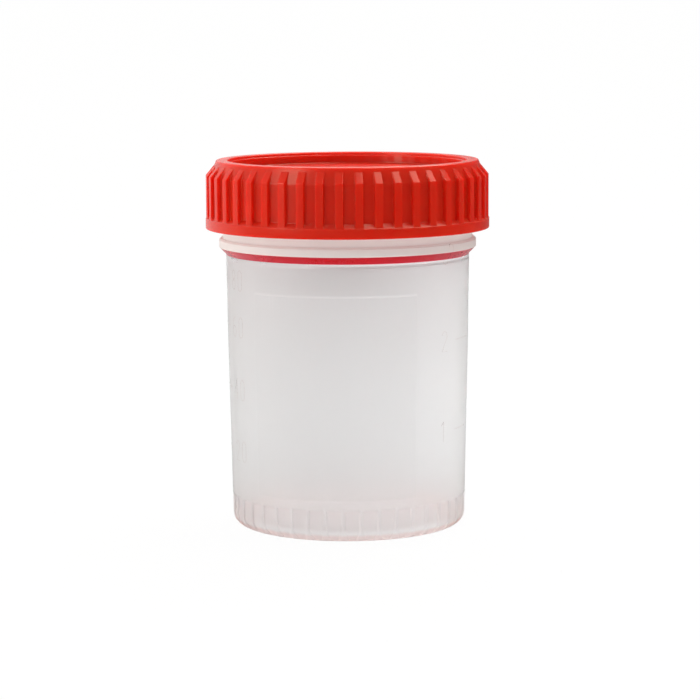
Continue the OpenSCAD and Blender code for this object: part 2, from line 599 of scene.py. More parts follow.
@dataclass(frozen=True)
class WhiteSweep:
    """The floor's finish: white to the camera, glass and gloss, with a trace of shadow.

    From below it is clear, so that the underside can be looked at. What shows through clear
    plastic has painted shade and light: darker far away and right under the container, brighter
    on its right, with a darker patch behind it. Places are in millimetres.

    Attributes:
        name: The material's name.
        colour: The colour under the lamps.
        shown: Share of plain white in what the camera sees.
        level: How bright it looks through clear plastic, close to the container and far away.
        fall: Distances at which it begins to darken and is darkest.
        foot_shade: Share of that level left right under the container, a painted shadow.
        foot_reach: Distance at which this shade begins to fade.
        gain: How much brighter it looks through the container on its left and on its right: painted
        light and shade on the container's sides.
        gain_span: Where these two gains are reached, along X.
        gloss: How bright it looks in gloss, on the camera's side and behind the container.
        gloss_depth: Where these two levels are reached, along Y.
        right_gloss: Share of that left on the right.
        gloss_span: Where it begins to drop to that share and where it gets there, along X.
        painted_shade_level: How bright a darker patch far behind the container looks through it:
            painted shade seen through the container below its collar.
        painted_shade_half_w: Half the patch's width.
        painted_shade_start: Distance at which the patch begins.
        painted_shade_soft: Width of the patch's soft edges.
    """

    name: str = "white_sweep"
    colour: Colour = (0.8, 0.8, 0.8)
    shown: float = 0.97
    level: Span = (0.78, 0.57)
    fall: Span = (130.0, 480.0)
    foot_shade: float = 0.85
    foot_reach: float = 20.0
    gain: Span = (0.86, 1.5)
    gain_span: Span = (-30.0, 60.0)
    gloss: Span = (0.08, 0.7)
    gloss_depth: Span = (-200.0, 150.0)
    right_gloss: float = 0.15
    gloss_span: Span = (-50.0, 250.0)
    painted_shade_level: float = 0.52
    painted_shade_half_w: float = 21.0
    painted_shade_start: float = 395.0
    painted_shade_soft: float = 3.0

    def material(self) -> Material:
        """Build the material.

        Returns:
            The material.
        """
        graph = Graph.of_material(self.name)
        path = graph.add("LightPath").outputs
        camera, gloss, glass = (path[f"Is {kind} Ray"] for kind in ("Camera", "Glossy", "Transmission"))
        x, y = graph.along("X"), graph.along("Y")
        away = graph.maths("ABSOLUTE", y, 0)
        aside = graph.maths("ABSOLUTE", x, 0)
        beside = graph.ranged(aside, 0, 1, self.painted_shade_half_w, self.painted_shade_half_w + self.painted_shade_soft)
        before = graph.ranged(y, 1, 0, self.painted_shade_start, self.painted_shade_start + self.painted_shade_soft)
        # Through clear plastic: painted shade far away, under the container and in the patch behind it, and
        # painted light on the right
        through = graph.maths(
            "MULTIPLY",
            graph.ranged(away, *self.level, *self.fall),
            graph.ranged(away, self.foot_shade, 1, self.foot_reach, self.fall[0]),
            graph.ranged(x, *self.gain, *self.gain_span),
            graph.ranged(graph.maths("MAXIMUM", beside, before), self.painted_shade_level, 1, 0, 1),
            glass,
        )
        mirrored = graph.maths(
            "MULTIPLY",
            graph.ranged(y, *self.gloss, *self.gloss_depth),
            graph.ranged(x, 1, self.right_gloss, *self.gloss_span),
            graph.maths("SUBTRACT", gloss, glass),
        )
        pale = tuple(c * 1.02 for c in self.colour)
        speck = graph.ranged(graph.noise(graph.spot(), 0.02), 0, 1)
        board = graph.add("BsdfDiffuse", {"Color": graph.blended(speck, self.colour, pale)})
        white = graph.add("Emission", {"Strength": graph.maths("MAXIMUM", through, mirrored, camera)})
        sight = graph.maths("MULTIPLY", graph.maths("MAXIMUM", camera, gloss, glass), self.shown)
        sweep = graph.add("MixShader", {0: sight, 1: board.outputs[0], 2: white.outputs[0]})
        behind = graph.add("NewGeometry").outputs["Backfacing"]
        clear = graph.add("BsdfTransparent")
        return graph.done(graph.add("MixShader", {0: behind, 1: sweep.outputs[0], 2: clear.outputs[0]}))


# The container's pieces


@dataclass(frozen=True)
class ScrewThread:
    """The two-start right-hand thread that the neck and the cap share, in millimetres."""

    rise_per_turn: float = 8.0
    starts: int = 2
    height: float = 1.0
    root_w: float = 2.1
    crest_w: float = 0.9
    crest_round: float = 0.12
    sink: float = 0.1
    low_z: float = 61.6
    high_z: float = 67.6
    run_out: float = 5.0
    phase: float = 0.6

    def section(self) -> list[Point]:
        """Closed section of the thread's ridge, sunk a little into its wall.

        Returns:
            Its points as (offset across the line, rise from the wall).
        """
        root, crest, soft = self.root_w / 2, self.crest_w / 2, self.crest_round
        return [
            (-root, -self.sink), (-root, HAIR), (-crest - soft, self.height - soft), (-crest, self.height),
            (crest, self.height), (crest + soft, self.height - soft), (root, HAIR), (root, -self.sink),
        ]

    def paths(self, phase: float, steps: int = 110) -> list[Stroke]:
        """Lines of the thread's starts.

        Args:
            phase: Azimuth at which the first start begins, in radians.
            steps: Number of straight pieces in each line.

        Returns:
            One line for each start.
        """
        rise = self.high_z - self.low_z
        turns = rise / self.rise_per_turn
        lines = []
        for start in range(self.starts):
            begin = phase + FULL_TURN * start / self.starts
            lines.append(Stroke([
                (begin + FULL_TURN * turns * k / steps, self.low_z + rise * k / steps)
                for k in range(steps + 1)
            ]))
        return lines


def bow(cx: float, cy: float, rx: float, ry: float, start: float, end: float, steps: int) -> list[Point]:
    """Part of an oval.

    Args:
        cx: Centre across.
        cy: Centre up.
        rx: Half width.
        ry: Half height.
        start: First angle in degrees.
        end: Last angle in degrees.
        steps: Number of straight pieces.

    Returns:
        Its points.
    """
    angles = [math.radians(start + (end - start) * k / steps) for k in range(steps + 1)]
    return [(cx + rx * math.cos(a), cy + ry * math.sin(a)) for a in angles]


# The lines of plain digits, one unit high and centred on their feet, and whether each is closed
DIGITS: dict[str, list[tuple[list[Point], bool]]] = {
    "0": [(bow(0, 0.8, 0.19, 0.2, 0, 180, 8) + bow(0, 0.2, 0.19, 0.2, 180, 360, 8), True)],
    "1": [([(-0.16, 0.80), (0.02, 0.99), (0.02, 0.0)], False)],
    "2": [(bow(0, 0.77, 0.2, 0.22, 165, -20, 9) + [(-0.2, 0.01), (0.22, 0.01)], False)],
    "3": [(bow(0, 0.77, 0.19, 0.22, 150, -80, 9) + bow(0, 0.27, 0.22, 0.27, 85, -150, 10), False)],
    "4": [([(0.1, 0.0), (0.1, 1.0), (-0.22, 0.3), (0.24, 0.3)], False)],
    "6": [(bow(0, 0.28, 0.2, 0.27, 90, 450, 16), True), (bow(0.16, 0.5, 0.36, 0.5, 100, 195, 7), False)],
    "8": [(bow(0, 0.76, 0.17, 0.22, 0, 360, 14)[:-1], True),
          (bow(0, 0.27, 0.2, 0.26, 0, 360, 14)[:-1], True)],
}


@dataclass(frozen=True)
class VolumeScale:
    """A moulded scale on the cup's wall.

    Attributes:
        unit: The scale's unit.
        marks: Pairs of the mark's label and its height in millimetres.
        label_azimuth: Azimuth of the labels' centres, in degrees.
        tick_azimuth: Azimuths at which each mark's line starts and ends, in degrees.
        label_height: Height of the digits, in millimetres.
        pitch: Spacing of the digits of one label, in millimetres.
        line_w: Width of the lines, in millimetres.
        line_rise: How far they stand out.
        line_sink: How deep they are rooted in the wall.
    """

    unit: Unit
    marks: tuple[tuple[str, float], ...]
    label_azimuth: float
    tick_azimuth: Span
    label_height: float = 4.1
    pitch: float = 3.0
    line_w: float = 0.24
    line_rise: float = 0.06
    line_sink: float = 0.03

    def section(self, steps: int = 5) -> list[Point]:
        """Closed section of a line: round on top, sunk a little into the wall.

        Args:
            steps: Number of straight pieces in the round top.

        Returns:
            Its points as (offset across the line, rise from the wall).
        """
        half = self.line_w / 2
        arch = [math.pi * k / steps for k in range(steps + 1)]
        top = [(-half * math.cos(a), self.line_rise * math.sin(a) + HAIR) for a in arch]
        return top + [(half, -self.line_sink), (-half, -self.line_sink)]

    def strokes(self, wall_radius: Callable[[float], float]) -> list[Stroke]:
        """Lines of the marks and their labels.

        Args:
            wall_radius: The wall's radius at a height.

        Returns:
            The lines.
        """
        lines = []
        start, end = (math.radians(a) for a in self.tick_azimuth)
        middle = math.radians(self.label_azimuth)
        for label, height in self.marks:
            radius = wall_radius(height)
            lines.append(Stroke([(start + (end - start) * k / 8, height) for k in range(9)]))
            foot = height - self.label_height / 2
            for index, digit in enumerate(label):
                across = (index - (len(label) - 1) / 2) * self.pitch
                for path, closed in DIGITS[digit]:
                    lines.append(Stroke([
                        (middle + (across + x * self.label_height) / radius, foot + y * self.label_height)
                        for x, y in path
                    ], closed))
        return lines


@dataclass(frozen=True)
class Cup:
    """The moulded cup. Sizes are in millimetres and azimuths in degrees.

    Its finishes stand in the order of Zone. The polished bore inside the collar's slope starts
    polish_drop under the body's top and ends polish_rise over the slope, and the base's finish
    ends base_rise over the floor. The rib between two cells is rounded over cell_round, pairs of
    the offset from the rib's edge and the share of the cell's depth there. On the rounded foot
    the ribs widen from toe_start down to toe_end, as shares of its height.
    """

    finishes: tuple[ClearMoulding, ...]
    marks: ClearMoulding
    thread: ScrewThread
    scales: tuple[VolumeScale, ...]
    body_r: float = 24.55
    body_h: float = 55.2
    knee_h: float = 38.2
    upper_draw: float = 0.22
    lower_draw: float = 0.73
    wall: float = 1.2
    floor_t: float = 1.2
    inner_corner_r: float = 1.6
    foot_hollow_h: float = 1.8
    foot_corner_r: float = 2.5
    foot_ring_w: float = 1.0
    cell_count: int = 41
    cell_top_h: float = 6.4
    cell_depth: float = 0.3
    cell_rib_w: float = 0.6
    cell_toe_w: float = 1.9
    toe_start: float = 0.8
    toe_end: float = 0.12
    cell_phase: float = -2.7
    cell_round: tuple[Point, ...] = ((0.0, 0.0), (0.035, 0.25), (0.07, 0.85), (0.11, 1.0))
    neck_step: float = 0.6
    collar_lip: float = 0.8
    collar_band_h: float = 1.45
    collar_bevel: float = 0.35
    neck_h: float = 11.2
    rim_bevel: float = 0.25
    panel_azimuths: Span = (-48.5, 33.6)
    panel_heights: Span = (8.3, 48.7)
    panel_rise: float = 0.07
    panel_edge: float = 0.16
    polish_drop: float = 0.6
    polish_rise: float = 0.5
    base_rise: float = 0.1

    @property
    def knee_r(self) -> float:
        """Radius at the knee of the wall."""
        return self.body_r - self.upper_draw

    @property
    def foot_r(self) -> float:
        """Radius just above the rounded foot."""
        return self.knee_r - self.lower_draw

    @property
    def neck_r(self) -> float:
        """Outer radius of the neck."""
        return self.body_r + self.neck_step

    @property
    def collar_r(self) -> float:
        """Outer radius of the collar."""
        return self.neck_r + self.collar_lip

    @property
    def collar_low_z(self) -> float:
        """Height at which the collar's slope ends."""
        return self.body_h + self.collar_r - self.body_r

    @property
    def collar_top_z(self) -> float:
        """Height of the collar's top."""
        return self.collar_low_z + self.collar_band_h + self.collar_bevel

    @property
    def rim_z(self) -> float:
        """Height of the neck's rim."""
        return self.collar_top_z + self.neck_h

    @property
    def floor_z(self) -> float:
        """Height of the floor's upper side."""
        return self.foot_hollow_h + self.floor_t

    @property
    def pitch(self) -> float:
        """Spacing of the grip cells."""
        return FULL_TURN * self.foot_r / self.cell_count

    def wall_r(self, z: float) -> float:
        """Outer radius of the wall and the collar.

        Args:
            z: Height above the rounded foot and below the neck.

        Returns:
            The radius.
        """
        places = (
            (self.foot_corner_r, self.foot_r), (self.knee_h, self.knee_r), (self.body_h, self.body_r),
            (self.collar_low_z, self.collar_r), (self.collar_low_z + self.collar_band_h, self.collar_r),
            (self.collar_top_z, self.collar_r - self.collar_bevel),
        )
        return float(np.interp(z, *zip(*places)))

    def foot_rings(self) -> list[Ring]:
        """Rings of the rounded foot, from the standing ring up, with the toes of the cells.

        Returns:
            The rings in order.
        """
        toe = math.degrees(math.asin(self.toe_end - 1))
        steps = [(-90, 0), (-82, 0), (-75, 0), (-68, 0), (toe, 0), (toe + 1, 0.25), (toe + 2.2, 0.85),
                 (toe + 3.5, 1), (-50, 1), (-40, 1), (-30, 1), (-20, 1), (-10, 1), (0, 1)]
        rings = []
        for angle, relief in steps:
            c, s = math.cos(math.radians(angle)), math.sin(math.radians(angle))
            z = self.foot_corner_r * (1 + s)
            spread = float(np.interp(1 + s, [self.toe_end, self.toe_start], [1, 0]))
            r = self.foot_r - self.foot_corner_r * (1 - c)
            rings.append(Ring(r, z, c, s, relief=relief, spread=spread))
        return rings

    def wall_rings(self) -> list[Ring]:
        """Rings of the outer wall, with the tops of the cells and the panel's edges.

        Returns:
            The rings in order.
        """
        top, soft, edge = self.cell_top_h, 0.05, self.panel_edge
        low, high = self.panel_heights
        cells = [(3.4, 1), (4.8, 1), (5.8, 1), (top - 3 * soft, 1), (top - 2 * soft, 0.85),
                 (top - soft, 0.25), (top, 0), (top + 0.5, 0), (low - 0.4, 0)]
        panel = [(low, 0), (low + edge / 2, 0.5), (low + edge, 1), (low + 4, 1)]
        panel += [(z, 1) for z in (20, 28, 33, 36, 38.2, 40.5, 44)]
        panel += [(high - edge, 1), (high - edge / 2, 0.5)]
        panel += [(z, 0) for z in (high, high + 0.4, 50.0, 51.0, 53.5)]
        rings = [Ring(self.wall_r(z), z, relief=share) for z, share in cells]
        return rings + [Ring(self.wall_r(z), z, panel=share) for z, share in panel]

    def upper_rings(self) -> list[Ring]:
        """Rings of the collar, the neck and the inside down to the gate's pip on the floor.

        Returns:
            The rings in order.
        """
        bore_r = self.neck_r - self.wall
        inner_r = self.wall_r(self.floor_z + self.inner_corner_r) - self.wall
        outline = rounded([
            Corner(self.wall_r(54.2), 54.2),
            Corner(self.body_r, self.body_h, 0.25),
            Corner(self.collar_r, self.collar_low_z, 0.15),
            Corner(self.collar_r, self.collar_low_z + self.collar_band_h, 0.15),
            Corner(self.collar_r - self.collar_bevel, self.collar_top_z, 0.12),
            Corner(self.neck_r, self.collar_top_z, 0.1),
            Corner(self.neck_r, self.rim_z - self.rim_bevel, 0.15),
            Corner(self.neck_r - self.rim_bevel, self.rim_z, 0.15),
            Corner(bore_r + self.rim_bevel, self.rim_z, 0.15),
            Corner(bore_r, self.rim_z - self.rim_bevel, 0.15),
            Corner(bore_r, self.collar_low_z, 0.6),
            Corner(self.body_r - self.wall, self.body_h - self.neck_step, 0.6),
            Corner(self.knee_r - self.wall, self.knee_h, 8.0),
            Corner(inner_r, self.floor_z, self.inner_corner_r),
            Corner(1.6, self.floor_z, 0.2),
            Corner(1.1, self.floor_z + 0.12, 0.2),
            Corner(0.35, self.floor_z + 0.16),
        ])
        return [Ring(r, z) for r, z in outline]

    def under_rings(self) -> list[Ring]:
        """Rings of the underside, from the gate mark on the axis out to the standing ring.

        Returns:
            The rings in order.
        """
        ring_r = self.foot_r - self.foot_corner_r - self.foot_ring_w
        top = self.foot_hollow_h
        outline = rounded([
            Corner(0.3, top - 0.35),
            Corner(0.6, top - 0.30, 0.1),
            Corner(0.75, top + 0.18, 0.1),
            Corner(1.9, top + 0.2, 0.15),
            Corner(2.3, top, 0.15),
            Corner(ring_r - top / 8, top, 0.3),
            Corner(ring_r, 0.0, 0.2),
            Corner(ring_r + 0.4, 0.0),
        ], 4)
        return [Ring(r, z) for r, z in outline]

    def column_places(self) -> tuple[np.ndarray, np.ndarray]:
        """Where the columns of points stand around the cup.

        Returns:
            The azimuth of each column's rib in radians, and its offset from that rib in
            millimetres along the foot.
        """
        half = self.cell_rib_w / 2
        side = [half + u for u, _ in self.cell_round] + [half + 0.4, half + 0.9]
        offsets = [-self.pitch / 2] + [-u for u in reversed(side)] + [0.0] + side
        places = []
        for index in range(self.cell_count):
            centre = math.radians(self.cell_phase + index * 360 / self.cell_count)
            centre = math.atan2(math.sin(centre), math.cos(centre))
            places += [(centre + u / self.foot_r, centre, u) for u in offsets]
        turn, phase = FULL_TURN / self.cell_count, math.radians(self.cell_phase)
        for azimuth, sense in zip(self.panel_azimuths, (1, -1)):
            for step in range(3):
                angle = math.radians(azimuth) + sense * step * self.panel_edge / 2 / self.body_r
                centre = phase + round((angle - phase) / turn) * turn
                places.append((angle, centre, (angle - centre) * self.foot_r))
        _, centres, offsets = np.array(sorted(places)).T
        return centres, offsets

    def row_zone(self, r: float, z: float) -> Zone:
        """The zone of a row of faces, apart from the panel and the cells.

        Args:
            r: Radius of the row's middle.
            z: Height of the row's middle.

        Returns:
            The zone.
        """
        outside = r > self.neck_r - self.wall / 2
        if z < self.floor_z + self.base_rise:
            return Zone.FOOT if r > self.foot_r - self.foot_corner_r else Zone.BASE
        if z < self.body_h - self.polish_drop:
            return Zone.WALL
        if z > self.collar_low_z + (0.0 if outside else self.polish_rise):
            return Zone.COLLAR
        return Zone.SLOPE if outside else Zone.BORE

    def zone_grid(self, rings: list[Ring], on_panel: np.ndarray, in_cell: np.ndarray) -> np.ndarray:
        """The zone of each face between rings.

        Args:
            rings: All the rings of the shell.
            on_panel: Whether each column of points lies in the panel's width.
            in_cell: Whether it lies in a grip cell.

        Returns:
            Zone numbers, shape (rings - 1, columns).
        """
        r, z, _, _, relief, panel, _ = np.array([astuple(ring) for ring in rings]).T
        on_panel, in_cell = on_panel & np.roll(on_panel, -1), in_cell & np.roll(in_cell, -1)
        middles = zip((r[:-1] + r[1:]) / 2, (z[:-1] + z[1:]) / 2)
        grid = np.repeat([[self.row_zone(*middle)] for middle in middles], len(on_panel), axis=1)
        grid[np.outer((panel[:-1] > 0) & (panel[1:] > 0), on_panel)] = Zone.PANEL
        grid[np.outer(np.minimum(relief[:-1], relief[1:]) > 0.5, in_cell)] = Zone.FOOT
        top = self.panel_heights[1]
        brow = (z[:-1] > top - self.panel_edge - 1e-6) & (z[1:] < top + 1e-6) & (r[:-1] > self.foot_r)
        grid[np.outer(brow, on_panel)] = Zone.BROW
        return grid

    def build_shell(self) -> Piece:
        """Build the cup itself, with its grip cells and the raised writing panel.

        Returns:
            The cup.
        """
        rings = self.under_rings() + self.foot_rings() + self.wall_rings() + self.upper_rings()
        table = np.array([astuple(ring) for ring in rings])
        r, z, out_r, out_z, relief, panel, spread = table.T[:, :, None]
        centre, offset = self.column_places()
        half, far = self.cell_rib_w / 2, self.pitch / 2
        size = np.abs(offset)
        rib_half = half + spread * (self.cell_toe_w / 2 - half)
        outside = rib_half + (size - half) * (far - rib_half) / (far - half)
        moved = np.where(size <= half, size * rib_half / half, outside) * np.sign(offset)
        straight = centre + offset / self.foot_r
        cut = np.interp(size, [half + u for u, _ in self.cell_round], [share for _, share in self.cell_round])
        start, end = (math.radians(a) for a in self.panel_azimuths)
        edge = self.panel_edge / self.body_r
        raised = np.interp(straight, [start, start + edge, end - edge, end], [0, 1, 1, 0])
        shift = relief * cut * -self.cell_depth + panel * raised * self.panel_rise
        on_panel = (straight >= start - 1e-6) & (straight <= end + 1e-6)
        return close_rings(
            "cup_shell",
            on_axis(centre + moved / self.foot_r, r + shift * out_r, z + shift * out_z),
            (rings[0].z, rings[-1].z),
            [finish.material() for finish in self.finishes],
            self.zone_grid(rings, on_panel, cut > 0.5),
        )

    def build(self) -> list[Piece]:
        """Build and dress every piece of the cup.

        Returns:
            The pieces.
        """
        shell = self.build_shell()
        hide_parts("cup")
        marks, thread = self.marks.material(), self.thread
        lines = thread.paths(thread.phase)
        neck_thread = ridge("neck_thread", lines, thread.section(), lambda z: self.neck_r, Facing.OUTWARD,
                            shell.data.materials[Zone.COLLAR], thread.run_out)
        pieces = [shell, neck_thread]
        for scale in self.scales:
            pieces.append(ridge(f"{scale.unit.value}_scale", scale.strokes(self.wall_r), scale.section(),
                                self.wall_r, Facing.OUTWARD, marks))
        for piece in pieces:
            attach(piece, "cup")
        return pieces


@dataclass(frozen=True)
class ScrewCap:
    """The ribbed screw cap. Sizes are in millimetres and azimuths in degrees.

    The first land_share of the shoulder is turned with the land, without ribs. The rows of points
    down the skirt keep their distances between the two row_gaps.
    """

    finish: SolidMoulding
    inside: SolidMoulding
    thread: ScrewThread
    cup: Cup
    seal_t: float = 0.8
    seal_float: float = 0.05
    skirt_gap: float = 1.9
    thread_gap: float = 1.35
    skirt_wall: float = 1.15
    panel_t: float = 1.2
    recess_depth: float = 2.35
    ledge_w: float = 0.4
    ledge_depth: float = 0.6
    stack_clearance: float = 0.1
    shoulder_in: float = 1.25
    shoulder_h: float = 3.2
    rib_count: int = 46
    rib_w: float = 1.55
    rib_depth: float = 0.85
    rib_round: float = 0.14
    flange_h: float = 2.1
    flange_lip: float = 0.12
    rib_head_drop: float = 0.9
    rib_head_h: float = 2.1
    rib_phase: float = -3.2
    land_share: float = 0.2
    row_gaps: Span = (0.012, 2.2)
    plug_h: float = 3.2
    plug_t: float = 1.0
    plug_clearance: float = 0.08

    @property
    def bore_r(self) -> float:
        """Radius of the skirt's bore."""
        return self.cup.neck_r + self.thread_gap

    @property
    def groove_r(self) -> float:
        """Radius of the skirt between the ribs."""
        return self.bore_r + self.skirt_wall

    @property
    def cap_r(self) -> float:
        """Outer radius over the ribs."""
        return self.groove_r + self.rib_depth

    @property
    def flange_r(self) -> float:
        """Outer radius of the flange."""
        return self.cap_r + self.flange_lip

    @property
    def land_r(self) -> float:
        """Outer radius of the top land."""
        return self.groove_r - self.shoulder_in

    @property
    def plug_r(self) -> float:
        """Outer radius of the plug."""
        return self.cup.neck_r - self.cup.wall - self.plug_clearance

    @property
    def under_z(self) -> float:
        """Height of the panel's underside."""
        return self.cup.rim_z + self.seal_t + self.seal_float

    @property
    def recess_z(self) -> float:
        """Height of the recess's floor."""
        return self.under_z + self.panel_t

    @property
    def top_z(self) -> float:
        """Height of the top land."""
        return self.recess_z + self.recess_depth

    @property
    def low_z(self) -> float:
        """Height of the skirt's lower edge."""
        return self.cup.collar_top_z + self.skirt_gap

    def top_rings(self) -> list[Point]:
        """Outline of the recess and the land, from the axis outwards.

        Returns:
            Its points as (radius, height).
        """
        ledge_r = self.cup.foot_r + self.stack_clearance
        recess_r, ledge_z = ledge_r + self.ledge_w, self.top_z - self.ledge_depth
        return rounded([
            Corner(0.5, self.recess_z - 0.12),
            Corner(1.5, self.recess_z - 0.12, 0.2),
            Corner(1.8, self.recess_z, 0.15),
            Corner(ledge_r, self.recess_z, 0.35),
            Corner(ledge_r, ledge_z, 0.12),
            Corner(recess_r, ledge_z, 0.12),
            Corner(recess_r, self.top_z, 0.25),
            Corner(self.land_r, self.top_z, 0.35),
            Corner(self.land_r + self.shoulder_in * self.land_share,
                   self.top_z - self.shoulder_h * self.land_share),
        ])

    def skirt_rows(self) -> tuple[np.ndarray, np.ndarray, np.ndarray]:
        """Rows of the ribbed skirt, from the land down to the flange.

        Returns:
            The rows' heights, the ribs' radii and the grooves' radii.
        """
        top, flange_z = self.top_z, self.low_z + self.flange_h
        head_r = self.land_r + self.shoulder_in * self.rib_head_drop / self.shoulder_h
        head_z = top - self.rib_head_drop
        lip = [Corner(self.flange_r, flange_z - self.flange_lip, 0.1), Corner(self.flange_r, flange_z - 1)]
        groove, rib = (np.array(rounded([Corner(self.land_r, top), *corners, *lip])) for corners in (
            (Corner(self.groove_r, top - self.shoulder_h, 1.2),
             Corner(self.groove_r, flange_z + self.rib_depth, 0.3), Corner(self.cap_r, flange_z, 0.3)),
            (Corner(head_r, head_z, 0.12), Corner(self.cap_r, head_z - self.rib_head_h, 0.35),
             Corner(self.cap_r, flange_z, 0.08)),
        ))
        heights = sorted({round(z, 4) for z in [*groove[:, 1].tolist(), *rib[:, 1].tolist()]}, reverse=True)
        first_z = top - self.shoulder_h * (self.land_share + 0.01)
        heights = [z for z in heights if flange_z - 0.5 < z < first_z]
        least, most = self.row_gaps
        spread = [heights[0]]
        for z in heights[1:]:
            if spread[-1] - z > least:
                gaps = math.ceil((spread[-1] - z) / most)
                spread += [spread[-1] + (z - spread[-1]) * k / gaps for k in range(1, gaps + 1)]
        rows = np.array(spread)
        groove_r = np.interp(rows, groove[::-1, 1], groove[::-1, 0])
        rib_r = np.interp(rows, rib[::-1, 1], rib[::-1, 0])
        return rows, np.maximum(rib_r, groove_r), groove_r

    def inner_rings(self) -> list[Point]:
        """Outline of the flange's edge, the bore, the plug and the panel's underside.

        Returns:
            Its points as (radius, height).
        """
        under, plug_z = self.under_z, self.under_z - self.plug_h
        return rounded([
            Corner(self.flange_r, self.low_z + 1.2),
            Corner(self.flange_r, self.low_z, 0.2),
            Corner(self.bore_r + 0.5, self.low_z, 0.2),
            Corner(self.bore_r, self.low_z + 0.5, 0.2),
            Corner(self.bore_r, under, 0.15),
            Corner(self.plug_r, under, 0.15),
            Corner(self.plug_r, plug_z + 0.4, 0.15),
            Corner(self.plug_r - 0.4, plug_z, 0.15),
            Corner(self.plug_r - self.plug_t, plug_z, 0.1),
            Corner(self.plug_r - self.plug_t, under, 0.4),
            Corner(0.5, under),
        ])

    def rib_columns(self) -> tuple[np.ndarray, np.ndarray]:
        """Where the columns of points stand around the cap.

        Returns:
            The azimuth of each column in radians, and its share of the ribs' height.
        """
        half, soft = self.rib_w / 2, self.rib_round
        foot = half + 0.05 + soft
        side = [(0.0, 1.0), (half * 0.5, 1.0)]
        arcs = [(math.sin(math.pi / 8 * k), math.cos(math.pi / 8 * k)) for k in range(5)]
        side += [(half - soft + soft * s, 1 - soft * (1 - c) / self.rib_depth) for s, c in arcs]
        side += [(foot - soft * c, soft * (1 - s) / self.rib_depth) for s, c in arcs]
        side += [(foot + 0.3, 0.0)]
        columns = [(-math.pi * self.cap_r / self.rib_count, 0.0)]
        columns += [(-u, share) for u, share in reversed(side[1:])] + side
        azimuths, shares = [], []
        for index in range(self.rib_count):
            centre = math.radians(self.rib_phase + index * 360 / self.rib_count)
            azimuths += [centre + u / self.cap_r for u, _ in columns]
            shares += [share for _, share in columns]
        return np.array(azimuths), np.array(shares)

    def build_shell(self) -> Piece:
        """Build the cap itself with its grip ribs.

        Returns:
            The cap.
        """
        azimuth, share = self.rib_columns()
        top, inner = np.array(self.top_rings()), np.array(self.inner_rings())
        rows, rib_r, groove_r = self.skirt_rows()
        even = np.ones_like(azimuth)
        skirt_r = groove_r[:, None] + (rib_r - groove_r)[:, None] * share
        radius = np.vstack([top[:, :1] * even, skirt_r, inner[:, :1] * even])
        height = np.concatenate([top[:, 1], rows, inner[:, 1]])
        rings = len(height)
        hidden = np.arange(rings - 1) > rings - np.sum(inner[:, 0] < self.bore_r + 0.3) - 1
        return close_rings("cap_shell", on_axis(azimuth, radius, height[:, None]), (top[0, 1], inner[-1, 1]),
                           [self.finish.material(), self.inside.material()],
                           np.repeat(hidden[:, None], len(azimuth), axis=1).astype(int))

    def build(self) -> list[Piece]:
        """Build and dress every piece of the cap, with its thread half a pitch from the neck's.

        Returns:
            The pieces.
        """
        shell = self.build_shell()
        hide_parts("screw_cap")
        thread = self.thread
        lines = thread.paths(thread.phase + math.pi / thread.starts)
        cap_thread = ridge("cap_thread", lines, thread.section(), lambda z: self.bore_r, Facing.INWARD,
                           shell.data.materials[1], thread.run_out)
        pieces = [shell, cap_thread]
        for piece in pieces:
            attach(piece, "cap")
        return pieces


@dataclass(frozen=True)
class SealRing:
    """The flat sealing ring between the neck's rim and the cap, in millimetres."""

    finish: SoftFoam
    cap: ScrewCap
    inner_gap: float = 0.1
    outer_gap: float = 0.3
    edge: float = 0.15

    def build(self, columns: int = 240) -> list[Piece]:
        """Build and dress the ring.

        Args:
            columns: Number of points around it.

        Returns:
            The ring, as a list of one piece.
        """
        inner, outer = self.cap.plug_r + self.inner_gap, self.cap.bore_r - self.outer_gap
        low, high = self.cap.cup.rim_z, self.cap.cup.rim_z + self.cap.seal_t
        middle = (inner + outer) / 2
        outline = np.array(rounded([
            Corner(middle, low), Corner(outer, low, self.edge), Corner(outer, high, self.edge),
            Corner(inner, high, self.edge), Corner(inner, low, self.edge), Corner(middle - 0.2, low),
        ], 4))
        angle = np.linspace(0, FULL_TURN, columns, endpoint=False)
        place = on_axis(angle, outline[:, :1], outline[:, 1:])
        ring = close_rings("sealing_ring", place, None, [self.finish.material()])
        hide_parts("seal_ring")
        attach(ring, "seal")
        return [ring]


# The studio


@dataclass(frozen=True)
class Softbox:
    """A soft area light that looks at the container.

    Attributes:
        name: The lamp's name.
        place: Where it stands, in metres.
        size: Its width and height, in metres.
        power: Its power in watts.
        mirrored: Whether it shows in gloss.
        colour: Its linear colour.
    """

    name: str
    place: tuple[float, float, float]
    size: Span
    power: float
    mirrored: bool = True
    colour: Colour = (1.0, 0.96, 0.90)

    def build(self, target: Vector) -> Piece:
        """Build the lamp.

        Args:
            target: What it looks at.

        Returns:
            The lamp.
        """
        data = bpy.data.lights.new(self.name, "AREA")
        data.shape = "RECTANGLE"
        data.size, data.size_y = self.size
        data.energy = self.power
        data.color = self.colour
        lamp = bpy.data.objects.new(self.name, data)
        lamp.location = self.place
        lamp.visible_glossy = self.mirrored
        lamp.rotation_euler = (target - Vector(self.place)).to_track_quat("-Z", "Y").to_euler()
        bpy.context.scene.collection.objects.link(lamp)
        return lamp


